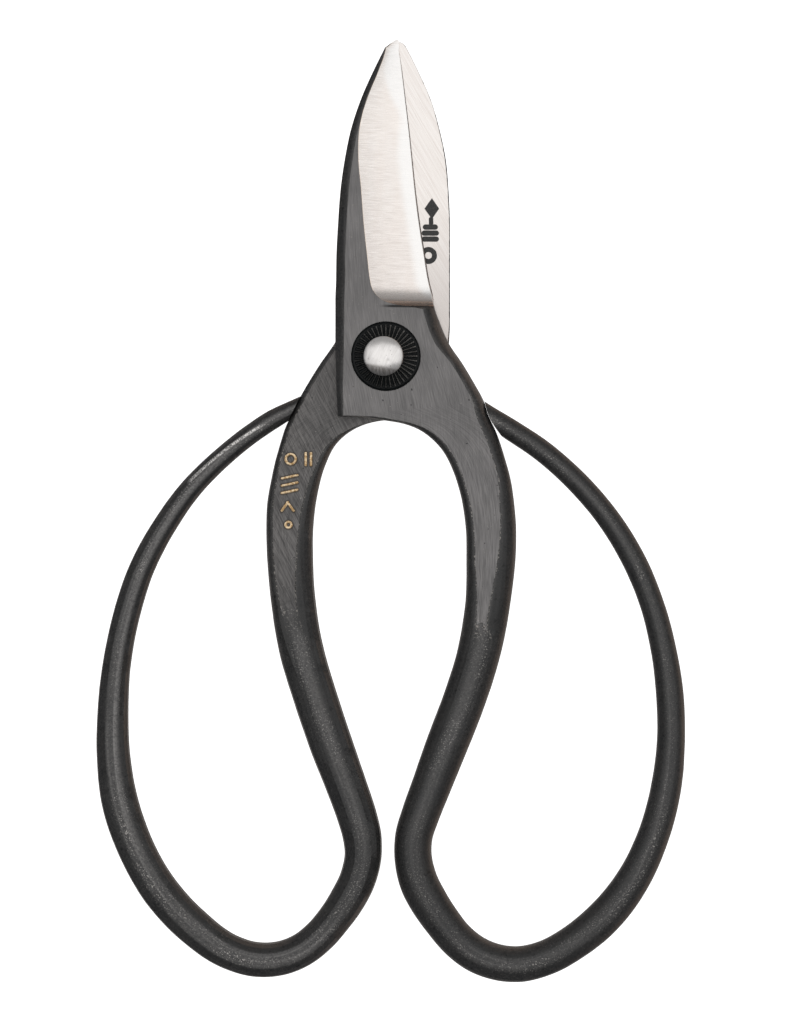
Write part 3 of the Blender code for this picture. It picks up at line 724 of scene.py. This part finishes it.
    # ---- polished steel: the bevel has cross brush lines, the flat inside has slanting ones
    m_bevel = n.ramp(cut, 0.0, 0.015, smooth=False)
    m_ura = n.ramp(n.math("ADD", ura, n.math("MULTIPLY", n.math("SUBTRACT", n.noise(pos, 0.8, 2, 0.5), 0.5), 0.25)),
                   -0.02, 0.05, smooth=False)
    m_bright = n.math("MAXIMUM", m_bevel, m_ura)
    across_lines = n.noise(n.stretched(pos, 0.16, 10.0, 1.0), 1.0, 3, 0.6)
    across_deep = n.noise(n.stretched(pos, 0.10, 2.4, 1.0), 1.0, 2, 0.5)
    slant = n.turned(pos, -30)
    slant_lines = n.noise(n.stretched(slant, 11.0, 0.11, 1.0), 1.0, 3, 0.6)
    steel_lines = n.blendf(m_bevel, slant_lines, across_lines)
    steel = n.mix(n.ramp(steel_lines, 0.30, 0.72), (0.890, 0.825, 0.780), (0.990, 0.950, 0.915))
    scratch = n.math("MULTIPLY", n.ramp(slant_lines, 0.30, 0.48, 1.0, 0.0), n.math("SUBTRACT", 1.0, m_bevel))
    steel = n.mix(n.math("MULTIPLY", scratch, 0.19), steel, (0.60, 0.51, 0.46))
    veil = n.ramp(n.noise(n.stretched(pos, 0.5, 0.09, 0.3), 1.0, 2, 0.5), 0.35, 0.65)
    steel = n.mix(n.math("MULTIPLY", veil, n.math("MULTIPLY", m_bevel, 0.25)), steel, (0.93, 0.835, 0.765))
    low_bevel = n.math("MULTIPLY", n.ramp(y, 12.0, 52.0, 0.55, 0.0, smooth=False), m_bevel)
    steel = n.mix(low_bevel, steel, (0.87, 0.795, 0.75))
    # painted shade: the bright inner face of the blade gets darker towards the neck
    painted_shade_low_flat = n.math("MULTIPLY", n.ramp(y, 2.0, 34.0, 0.85, 0.12), n.math("SUBTRACT", 1.0, m_bevel))
    steel = n.mix(painted_shade_low_flat, steel, (0.58, 0.535, 0.51))
    deep = n.math("MULTIPLY", n.ramp(across_deep, 0.56, 0.68),
                  n.math("MULTIPLY", m_bevel, n.ramp(y, 12.0, 42.0, 0.26, 0.08)))
    steel = n.mix(deep, steel, (0.60, 0.54, 0.50))
    hone_at = n.math("ADD", cut, n.math("ADD", n.ramp(y, 14.0, 44.0, 0.05, 0.55), n.ramp(y, 44.0, 57.0, 0.0, 2.4)))
    honed = n.math("MULTIPLY", m_bevel, n.ramp(hone_at, 2.95, 3.5))
    steel = n.mix(honed, steel, (0.985, 0.965, 0.945))
    ridge = n.math("MULTIPLY", n.ramp(cut, 0.015, 0.075, 1.0, 0.0), m_bevel)
    steel = n.mix(n.math("MULTIPLY", ridge, 0.8), steel, (0.98, 0.80, 0.66))

    base = n.mix(n.math("MULTIPLY", m_worn, 0.9), forged, ground)
    # painted highlight band along the crest, partly real wear
    base = n.mix(worn_crest_and_highlight, base, (0.265, 0.256, 0.250))
    if not front:
        # one long rub mark that crosses the tail's crest at a shallow angle, slightly bowed: bare metal, and partly a
        # painted highlight along the crest
        turn, mid_x, mid_y = math.radians(37.7), -30.6, -18.75
        dx, dy = n.math("SUBTRACT", x, mid_x), n.math("SUBTRACT", y, mid_y)
        run = n.math("ADD", n.math("MULTIPLY", dx, math.cos(turn)), n.math("MULTIPLY", dy, math.sin(turn)))
        off = n.math("SUBTRACT", n.math("MULTIPLY", dy, math.cos(turn)), n.math("MULTIPLY", dx, math.sin(turn)))
        bowed = n.math("MULTIPLY", n.math("MULTIPLY", run, run), 0.62 / 9.1 ** 2)
        off = n.math("ABSOLUTE", n.math("ADD", n.math("SUBTRACT", off, 0.62), bowed))
        rub_and_highlight = n.math("MULTIPLY", n.ramp(off, 0.08, 0.42, 1.0, 0.0),
                     n.ramp(n.math("ABSOLUTE", run), 7.6, 9.6, 1.0, 0.0))
        rub_and_highlight = n.math("MULTIPLY", rub_and_highlight, n.ramp(n.noise(pos, 3.4, 2, 0.6), 0.38, 0.60, 0.15, 1.0))
        base = n.mix(n.math("MULTIPLY", rub_and_highlight, 0.95), base, (0.92, 0.89, 0.86))
    base = n.mix(m_ground, base, ground)
    base = n.mix(n.math("MULTIPLY", rim, 0.9), base, (0.52, 0.48, 0.44))
    under = n.math("MULTIPLY", n.ramp(cut, -7.0, -4.0), n.math("MULTIPLY", n.ramp(y, 9.55, 9.8, 1.0, 0.0),
                                                              n.ramp(y, 8.4, 8.8)))
    under = n.math("MULTIPLY", under, n.ramp(n.math("MULTIPLY", across, 1.0), -1.5, 1.5))
    base = n.mix(n.math("MULTIPLY", under, 0.85), base, (0.012, 0.011, 0.011))
    # painted shade and dark reflection at the foot of the bevel, where the runout curves up
    painted_runout_shade = n.math("MULTIPLY", n.ramp(y, 9.35, 11.2, 0.92, 0.0), m_bevel)
    steel = n.mix(painted_runout_shade, steel, (0.22, 0.165, 0.135))
    # painted shadow: the narrow lip along the cutting edge is darkened like the gap beside the edge
    painted_edge_shadow = n.math("MULTIPLY", n.ramp(n.attr("lip"), 0.3, 0.7), m_bevel)
    steel = n.mix(n.math("MULTIPLY", painted_edge_shadow, n.ramp(y, 59.5, 57.0)), steel, (0.27, 0.235, 0.215))
    base = n.mix(m_bright, base, steel)
    metal = n.math("MAXIMUM", n.math("MULTIPLY", m_ground, 0.85), m_bright)
    metal = n.math("MAXIMUM", metal, n.math("MULTIPLY", rim, 0.8))
    metal = n.math("MAXIMUM", metal, n.math("MULTIPLY", n.math("MULTIPLY", worn_speck_and_glint, 0.7), n.math("SUBTRACT", 1.0, m_ground, clamp=True)))
    metal = n.math("MAXIMUM", metal, n.math("MULTIPLY", worn_crest_and_highlight, 0.9))
    if not front:
        metal = n.math("MAXIMUM", metal, n.math("MULTIPLY", rub_and_highlight, 0.8))
    rough = n.blendf(n.math("MAXIMUM", m_ground, n.math("MULTIPLY", m_worn, 0.7)),
                     n.ramp(grain, 0.3, 0.7, 0.34, 0.48), n.ramp(brush, 0.3, 0.7, 0.46, 0.36))
    rough = n.blendf(m_bright, rough, n.ramp(steel_lines, 0.3, 0.7, 0.34, 0.24))
    height = n.math("ADD", n.math("MULTIPLY", grain, 0.045), n.math("MULTIPLY", fine, 0.018))
    height = n.math("ADD", height, n.math("MULTIPLY", crease, 0.11))
    height = n.math("ADD", height, n.math("MULTIPLY", cloud, 0.05))
    height = n.math("SUBTRACT", height, n.math("MULTIPLY", pit, 0.012))
    flat_height = n.math("ADD", n.math("MULTIPLY", brush, 0.010), n.math("MULTIPLY", nick, -0.02))
    height = n.blendf(m_ground, height, flat_height)
    height = n.blendf(m_bright, height, n.math("MULTIPLY", steel_lines, 0.0022))

    if not front:
        # gold-filled punch marks on the shank: plain geometric shapes
        facing = n.ramp(z, 6.2, 6.4)
        gold_d = n.least(
            n.ring_mark(x, y, -18.2, -19.8, 0.95),
            n.stroke(x, y, -15.3, -19.8, 1.15, 90),
            n.stroke(x, y, -14.3, -19.8, 1.15, 90),
            n.stroke(x, y, -18.4, -23.2, 1.5, 12),
            n.stroke(x, y, -18.4, -24.6, 1.5, 12),
            n.stroke(x, y, -18.4, -26.0, 1.5, 12),
            n.stroke(x, y, -19.3, -28.9, 1.0, 55),
            n.stroke(x, y, -18.2, -28.9, 1.0, -55),
            n.ring_mark(x, y, -18.6, -32.4, 0.55),
        )
        wear = n.math("MULTIPLY", n.math("SUBTRACT", n.noise(pos, 2.0, 2, 0.6), 0.5), 0.16)
        gold = n.math("MULTIPLY", n.ramp(n.math("ADD", gold_d, wear), 0.19, 0.27, 1.0, 0.0), facing)
        halo = n.math("MULTIPLY", n.ramp(gold_d, 0.22, 0.62, 1.0, 0.0), facing)
        gold_tone = n.mix(n.ramp(grain, 0.4, 0.65), (0.42, 0.27, 0.13), (0.86, 0.68, 0.45))
        base = n.mix(n.math("MULTIPLY", halo, 0.75), base, (0.035, 0.026, 0.019))
        base = n.mix(gold, base, gold_tone)
        metal = n.math("MAXIMUM", metal, gold)
        rough = n.blendf(gold, rough, 0.34)
        height = n.math("SUBTRACT", height, n.math("MULTIPLY", n.ramp(gold_d, 0.05, 0.32, 1.0, 0.0),
                                                   n.math("MULTIPLY", facing, 0.06)))
        # etched dark mark on the flat of the blade: a lozenge over bars
        etch_d = n.least(
            n.diamond(x, y, 8.9, 28.3, 1.4, 2.0),
            n.math("SUBTRACT", n.stroke(x, y, 8.75, 25.9, 0.4, 90), 0.42),
            n.math("SUBTRACT", n.stroke(x, y, 8.6, 24.75, 0.95, 0), 0.5),
            n.math("SUBTRACT", n.stroke(x, y, 8.6, 23.6, 1.15, 0), 0.5),
            n.math("SUBTRACT", n.stroke(x, y, 8.6, 22.45, 1.15, 0), 0.5),
            n.math("SUBTRACT", n.ring_mark(x, y, 8.25, 19.3, 1.15), 0.48),
        )
        etch = n.math("MULTIPLY", n.ramp(n.math("ADD", etch_d, n.math("MULTIPLY", wear, 0.5)), -0.02, 0.04, 1.0, 0.0),
                      facing)
        base = n.mix(etch, base, n.mix(n.ramp(fine, 0.4, 0.7), (0.030, 0.030, 0.030), (0.085, 0.083, 0.080)))
        metal = n.math("MULTIPLY", metal, n.ramp(etch, 0.0, 1.0, 1.0, 0.2))
        rough = n.blendf(etch, rough, 0.55)
        height = n.math("SUBTRACT", height, n.math("MULTIPLY", etch, 0.012))

    n.put(n.shader.inputs["Base Color"], base)
    n.put(n.shader.inputs["Metallic"], metal)
    n.put(n.shader.inputs["Roughness"], rough)
    n.bump(height)
    return n.mat


def washer_material(name):
    n = Net(name)
    pos, x, y, z = n.xyz()
    cloud = n.noise(pos, 0.9, 3, 0.6)
    fine = n.noise(pos, 9.0, 2, 0.6)
    crest = n.math("MULTIPLY", n.attr("crest"), n.ramp(n.noise(pos, 1.8, 2, 0.6), 0.3, 0.62, 0.3, 1.0))
    # the rib crests are worn bare; painted light makes them brighter towards the right, the side the light falls from,
    # and dimmer on the left
    painted_lit_side = n.math("ADD", n.math("MULTIPLY", x, 0.9), n.math("MULTIPLY", y, 0.35))
    crest = n.math("MULTIPLY", crest, n.ramp(painted_lit_side, -4.5, 5.0, 0.22, 1.45))
    base = n.mix(n.ramp(cloud, 0.35, 0.7), (0.0022, 0.0030, 0.0035), (0.0052, 0.0064, 0.0070))
    base = n.mix(n.math("MULTIPLY", n.ramp(fine, 0.66, 0.74), 0.4), base, (0.04, 0.038, 0.036))
    base = n.mix(crest, base, (0.52, 0.50, 0.475))
    n.put(n.shader.inputs["Base Color"], base)
    n.put(n.shader.inputs["Metallic"], n.math("MULTIPLY", crest, 0.95, clamp=True))
    n.shader.inputs["Specular IOR Level"].default_value = 0.16
    n.put(n.shader.inputs["Roughness"], n.ramp(cloud, 0.3, 0.7, 0.20, 0.32))
    n.bump(n.math("ADD", n.math("MULTIPLY", fine, 0.002), n.math("MULTIPLY", cloud, 0.006)))
    return n.mat


def rivet_material(name):
    n = Net(name)
    pos, x, y, z = n.xyz()
    brushed = n.noise(n.stretched(n.turned(pos, 24), 7.0, 0.45, 0.5), 1.0, 3, 0.6)
    cloud = n.noise(pos, 0.6, 3, 0.6)
    base = n.mix(n.ramp(brushed, 0.25, 0.78), (0.82, 0.79, 0.77), (0.95, 0.925, 0.905))
    base = n.mix(n.math("MULTIPLY", n.ramp(cloud, 0.55, 0.8), 0.25), base, (0.55, 0.52, 0.50))
    # a painted dark reflection: a dark crescent along the lower rim of the dome, broken up in short streaks
    drag = n.noise(n.stretched(pos, 6.0, 0.7, 0.5), 1.0, 2, 0.6)
    low = n.math("ADD", n.math("MULTIPLY", x, -0.20), n.math("MULTIPLY", y, -0.98))
    low = n.math("ADD", low, n.math("MULTIPLY", drag, 0.9))
    painted_dark_reflection = n.math("MULTIPLY", n.ramp(low, 2.35, 3.1), n.ramp(drag, 0.35, 0.65, 0.85, 0.5))
    base = n.mix(painted_dark_reflection, base, (0.20, 0.175, 0.16))
    nick = n.ramp(n.noise(pos, 2.6, 1, 0.4), 0.24, 0.28, 1.0, 0.0)
    base = n.mix(n.math("MULTIPLY", nick, 0.5), base, (0.16, 0.14, 0.12))
    n.put(n.shader.inputs["Base Color"], base)
    n.put(n.shader.inputs["Metallic"], 1.0)
    n.put(n.shader.inputs["Roughness"], n.ramp(brushed, 0.3, 0.7, 0.36, 0.27))
    n.bump(n.math("ADD", n.math("MULTIPLY", brushed, 0.0015), n.math("MULTIPLY", cloud, 0.012)))
    return n.mat


# ------------------------------------------------------------------ pieces
front = make_arm("front_arm_forging", FRONT_OUTLINE, FRONT_BOW, FRONT_TAIL, 1, 1)
back = make_arm("back_arm_forging", BACK_OUTLINE, BACK_BOW, BACK_TAIL, -1, -1)
front_disc = make_washer("front_ribbed_washer", 1)
rear_disc = make_washer("rear_ribbed_washer", -1)
pin = make_rivet("domed_rivet")

front.data.materials.clear()
front.data.materials.append(arm_material("front_arm_steel", True))
back.data.materials.clear()
back.data.materials.append(arm_material("back_arm_steel", False))
for disc in (front_disc, rear_disc):
    disc.data.materials.append(washer_material(disc.name + "_blued"))
pin.data.materials.append(rivet_material("domed_rivet_steel"))

for piece, node, body, slot in (
    (front, "front_arm", "front_half", "front_arm_forged"),
    (back, "back_arm", "back_half", "back_arm_forged"),
    (front_disc, "front_washer", "back_half", "washer_blued"),
    (rear_disc, "rear_washer", "back_half", "washer_blued"),
    (pin, "pivot_rivet", "back_half", "rivet_steel"),
):
    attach(piece, body)
    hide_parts(node)

# ------------------------------------------------------------------ floor, light and camera
scene = bpy.context.scene
scene.view_settings.view_transform = "Standard"

floor_mesh = bpy.data.meshes.new("floor")
floor_mesh.from_pydata([(-3, -3, -0.0002), (3, -3, -0.0002), (3, 3, -0.0002), (-3, 3, -0.0002)], [], [(0, 1, 2, 3)])
floor = bpy.data.objects.new("floor", floor_mesh)
scene.collection.objects.link(floor)
paper = bpy.data.materials.new("floor_paper")
paper.use_nodes = True
paper_shader = paper.node_tree.nodes["Principled BSDF"]
paper_shader.inputs["Base Color"].default_value = (0.9, 0.9, 0.9, 1)
paper_shader.inputs["Roughness"].default_value = 0.9
paper_shader.inputs["Specular IOR Level"].default_value = 0.0
paper_shader.inputs["Emission Color"].default_value = (1, 1, 1, 1)
paper_shader.inputs["Emission Strength"].default_value = 1.0
# seen from below the sheet is clear, so the rear face can be looked at too
paper_tree = paper.node_tree
paper_side = paper_tree.nodes.new("ShaderNodeNewGeometry")
paper_clear = paper_tree.nodes.new("ShaderNodeBsdfTransparent")
paper_mix = paper_tree.nodes.new("ShaderNodeMixShader")
paper_tree.links.new(paper_side.outputs["Backfacing"], paper_mix.inputs[0])
paper_tree.links.new(paper_shader.outputs[0], paper_mix.inputs[1])
paper_tree.links.new(paper_clear.outputs[0], paper_mix.inputs[2])
paper_tree.links.new(paper_mix.outputs[0], paper_tree.nodes["Material Output"].inputs["Surface"])
floor_mesh.materials.append(paper)
floor.visible_glossy = False

world = bpy.data.worlds.new("studio")
scene.world = world
world.use_nodes = True
sky = world.node_tree
sky_dir = sky.nodes.new("ShaderNodeTexCoord")
sky_split = sky.nodes.new("ShaderNodeSeparateXYZ")
sky.links.new(sky_dir.outputs["Generated"], sky_split.inputs[0])


def sky_sum(kx, ky, kz):
    """Weighted sum of the direction's components."""
    made = sky.nodes.new("ShaderNodeVectorMath")
    made.operation = "DOT_PRODUCT"
    sky.links.new(sky_dir.outputs["Generated"], made.inputs[0])
    made.inputs[1].default_value = (kx, ky, kz)
    return made.outputs["Value"]


def sky_range(value, low, high):
    made = sky.nodes.new("ShaderNodeMapRange")
    made.interpolation_type = "SMOOTHSTEP"
    sky.links.new(value, made.inputs["Value"])
    made.inputs["From Min"].default_value, made.inputs["From Max"].default_value = low, high
    return made.outputs["Result"]


def sky_mix(fac, a, b):
    made = sky.nodes.new("ShaderNodeMix")
    made.data_type = "RGBA"
    sky.links.new(fac, made.inputs[0])
    for socket, value in ((made.inputs[6], a), (made.inputs[7], b)):
        if isinstance(value, tuple):
            socket.default_value = (*value, 1)
        else:
            sky.links.new(value, socket)
    return made.outputs[2]


# a dim room: cool on the left, a warm bench low down on the right and beyond, pale sheet below, paler overhead
bench = sky_mix(sky_range(sky_sum(0.75, 0.45, 0.0), -0.05, 0.40), (0.040, 0.046, 0.056), (0.80, 0.60, 0.48))
room = sky_mix(sky_range(sky_sum(0.0, 0.35, 1.0), 0.15, 0.90), (0.13, 0.135, 0.14), (0.33, 0.33, 0.33))
bench = sky_mix(sky_range(sky_sum(0.0, 0.0, -1.0), 0.45, 0.95), bench, (0.60, 0.555, 0.525))
sky.links.new(sky_mix(sky_range(sky_sum(0.0, 0.0, 1.0), -0.12, 0.10), bench, room),
              sky.nodes["Background"].inputs["Color"])


def softbox(name, place, aim, width, depth, power):
    data = bpy.data.lights.new(name, "AREA")
    data.shape = "RECTANGLE"
    data.size, data.size_y = width, depth
    data.energy = power
    lamp = bpy.data.objects.new(name, data)
    lamp.location = place
    lamp.rotation_euler = (Vector(aim) - Vector(place)).to_track_quat("-Z", "Y").to_euler()
    scene.collection.objects.link(lamp)
    return lamp


def glow(radiance, width, depth):
    """Power that gives a softbox this radiance."""
    return radiance * math.pi * width * depth


softbox("overhead", (0.18, 0.10, 1.15), (0.18, 0.10, 0), 2.9, 1.3, glow(0.70, 2.9, 1.3))

camera = bpy.data.cameras.new("camera")
camera.lens = 180.0
camera.sensor_width = 36.0
camera.clip_start, camera.clip_end = 0.01, 10
eye = bpy.data.objects.new("camera", camera)
# straight down on the front face, framed as a 150.9 x 196.6 mm field at the blades' mid-plane
DISTANCE = 0.1966 * 180.0 / 36.0
eye.location = (0.00144, -0.02995, MID * MM + DISTANCE)
eye.rotation_euler = (0, 0, 0)
scene.collection.objects.link(eye)
scene.camera = eye
